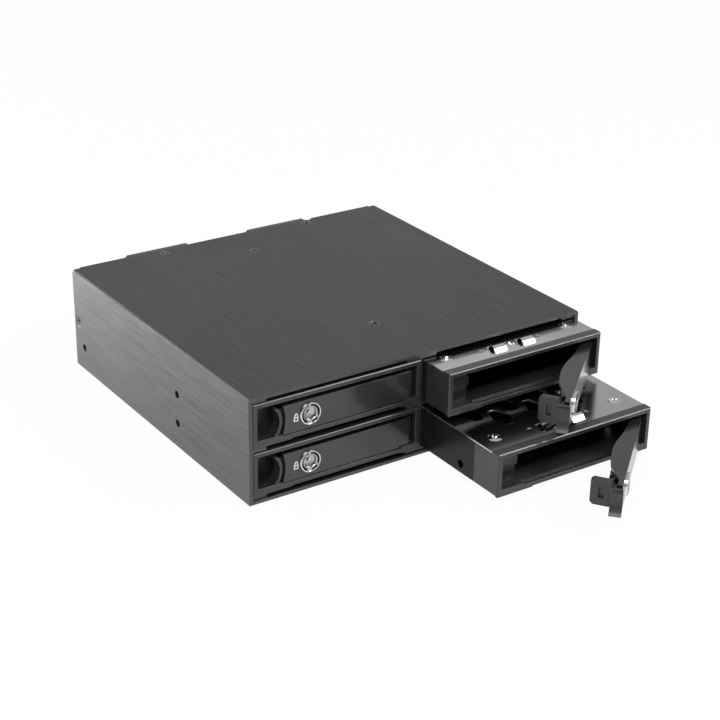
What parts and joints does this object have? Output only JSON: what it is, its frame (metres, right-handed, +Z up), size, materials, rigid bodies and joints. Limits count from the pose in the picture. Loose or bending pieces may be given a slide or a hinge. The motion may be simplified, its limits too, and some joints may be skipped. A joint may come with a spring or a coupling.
{
  "type": "hot swap drive cage",
  "caption": "Hot swap cage for small drives in a half-height bay, with sliding trays, hinged locking doors, a backplane and rear fans.",
  "frame": {"origin": "centre of the case's bottom face", "axes": "+Y from the trays' front to the fans at the rear, +Z up, +X to the right seen from the front"},
  "size_m": [0.146, 0.2338, 0.0415],
  "materials": {
    "case_black": "satin",
    "plastic_black": "satin",
    "door_black": "gloss",
    "nickel": "polished",
    "bright_steel": "polished",
    "steel_sheet": "satin",
    "board_green": "satin",
    "screw_black": "satin"
  },
  "bodies": {
    "housing": {"housing_shell": "case_black", "base_plate": "case_black", "centre_divider": "steel_sheet", "rear_panel": "case_black", "cover_screws": "screw_black", "base_screws": "screw_black", "backplane_board": "board_green", "board_screws": "bright_steel", "drive_connectors": "plastic_black", "data_connectors": "plastic_black", "power_connectors": "plastic_black", "fan_screws": "bright_steel", "left_fan_frame": "plastic_black", "right_fan_frame": "plastic_black"},
    "left_fan": {"left_fan_rotor": "plastic_black"},
    "right_fan": {"right_fan_rotor": "plastic_black"},
    "upper_left_tray": {"upper_left_bezel": "plastic_black", "upper_left_carrier": "case_black", "upper_left_top_plate": "nickel", "upper_left_leaf_springs": "bright_steel", "upper_left_plate_screws": "bright_steel", "upper_left_hinge_pin": "bright_steel"},
    "upper_left_door": {"upper_left_lever": "door_black", "upper_left_lock_ring": "bright_steel", "upper_left_latch_spring": "bright_steel"},
    "upper_left_latch": {"upper_left_latch": "plastic_black"},
    "upper_left_lock": {"upper_left_lock_barrel": "bright_steel"},
    "lower_left_tray": {"lower_left_bezel": "plastic_black", "lower_left_carrier": "case_black", "lower_left_top_plate": "nickel", "lower_left_leaf_springs": "bright_steel", "lower_left_plate_screws": "bright_steel", "lower_left_hinge_pin": "bright_steel"},
    "lower_left_door": {"lower_left_lever": "door_black", "lower_left_lock_ring": "bright_steel", "lower_left_latch_spring": "bright_steel"},
    "lower_left_latch": {"lower_left_latch": "plastic_black"},
    "lower_left_lock": {"lower_left_lock_barrel": "bright_steel"},
    "upper_right_tray": {"upper_right_bezel": "plastic_black", "upper_right_carrier": "case_black", "upper_right_top_plate": "nickel", "upper_right_leaf_springs": "bright_steel", "upper_right_plate_screws": "bright_steel", "upper_right_hinge_pin": "bright_steel"},
    "upper_right_door": {"upper_right_lever": "door_black", "upper_right_lock_ring": "bright_steel", "upper_right_latch_spring": "bright_steel"},
    "upper_right_latch": {"upper_right_latch": "plastic_black"},
    "upper_right_lock": {"upper_right_lock_barrel": "bright_steel"},
    "lower_right_tray": {"lower_right_bezel": "plastic_black", "lower_right_carrier": "case_black", "lower_right_top_plate": "nickel", "lower_right_leaf_springs": "bright_steel", "lower_right_plate_screws": "bright_steel", "lower_right_hinge_pin": "bright_steel"},
    "lower_right_door": {"lower_right_lever": "door_black", "lower_right_lock_ring": "bright_steel", "lower_right_latch_spring": "bright_steel"},
    "lower_right_latch": {"lower_right_latch": "plastic_black"},
    "lower_right_lock": {"lower_right_lock_barrel": "bright_steel"}
  },
  "joints": [
    {"name": "left_fan_spin", "type": "hinge", "parent": "housing", "child": "left_fan", "pos_m": [-0.03, 0.07475, 0.023], "axis": [0, 1, 0], "continuous": true},
    {"name": "right_fan_spin", "type": "hinge", "parent": "housing", "child": "right_fan", "pos_m": [0.0275, 0.07475, 0.023], "axis": [0, 1, 0], "continuous": true},
    {"name": "upper_left_tray_slide", "type": "slide", "parent": "housing", "child": "upper_left_tray", "axis": [0, -1, 0], "range_m": [0, 0.115]},
    {"name": "upper_left_door_hinge", "type": "hinge", "parent": "upper_left_tray", "child": "upper_left_door", "pos_m": [-0.00535, -0.06735, 0.02995], "axis": [0, 0, 1], "range_deg": [0, 90]},
    {"name": "upper_left_latch_slide", "type": "slide", "parent": "upper_left_door", "child": "upper_left_latch", "axis": [1, 0, 0], "range_m": [-0.0009, 0.001], "stiffness_N_per_m": 300, "deforming": ["upper_left_latch_spring"]},
    {"name": "upper_left_lock_turn", "type": "hinge", "parent": "upper_left_door", "child": "upper_left_lock", "pos_m": [-0.0481, -0.06935, 0.02995], "axis": [0, 1, 0], "range_deg": [-90, 0]},
    {"name": "lower_left_tray_slide", "type": "slide", "parent": "housing", "child": "lower_left_tray", "axis": [0, -1, 0], "range_m": [0, 0.115]},
    {"name": "lower_left_door_hinge", "type": "hinge", "parent": "lower_left_tray", "child": "lower_left_door", "pos_m": [-0.00535, -0.06735, 0.011], "axis": [0, 0, 1], "range_deg": [0, 90]},
    {"name": "lower_left_latch_slide", "type": "slide", "parent": "lower_left_door", "child": "lower_left_latch", "axis": [1, 0, 0], "range_m": [-0.0009, 0.001], "stiffness_N_per_m": 300, "deforming": ["lower_left_latch_spring"]},
    {"name": "lower_left_lock_turn", "type": "hinge", "parent": "lower_left_door", "child": "lower_left_lock", "pos_m": [-0.0481, -0.06935, 0.011], "axis": [0, 1, 0], "range_deg": [-90, 0]},
    {"name": "upper_right_tray_slide", "type": "slide", "parent": "housing", "child": "upper_right_tray", "axis": [0, -1, 0], "range_m": [-0.0155, 0.0995]},
    {"name": "upper_right_door_hinge", "type": "hinge", "parent": "upper_right_tray", "child": "upper_right_door", "pos_m": [0.06665, -0.08285, 0.02995], "axis": [0, 0, 1], "range_deg": [-41, 49]},
    {"name": "upper_right_latch_slide", "type": "slide", "parent": "upper_right_door", "child": "upper_right_latch", "axis": [0.7547, 0.6561, 0], "range_m": [-0.0009, 0.001], "stiffness_N_per_m": 300, "deforming": ["upper_right_latch_spring"]},
    {"name": "upper_right_lock_turn", "type": "hinge", "parent": "upper_right_door", "child": "upper_right_lock", "pos_m": [0.0357, -0.11241, 0.02995], "axis": [-0.6561, 0.7547, 0], "range_deg": [-90, 0]},
    {"name": "lower_right_tray_slide", "type": "slide", "parent": "housing", "child": "lower_right_tray", "axis": [0, -1, 0], "range_m": [-0.0455, 0.0695]},
    {"name": "lower_right_door_hinge", "type": "hinge", "parent": "lower_right_tray", "child": "lower_right_door", "pos_m": [0.06665, -0.11285, 0.011], "axis": [0, 0, 1], "range_deg": [-41, 49]},
    {"name": "lower_right_latch_slide", "type": "slide", "parent": "lower_right_door", "child": "lower_right_latch", "axis": [0.7547, 0.6561, 0], "range_m": [-0.0009, 0.001], "stiffness_N_per_m": 300, "deforming": ["lower_right_latch_spring"]},
    {"name": "lower_right_lock_turn", "type": "hinge", "parent": "lower_right_door", "child": "lower_right_lock", "pos_m": [0.0357, -0.14241, 0.011], "axis": [-0.6561, 0.7547, 0], "range_deg": [-90, 0]}
  ]
}
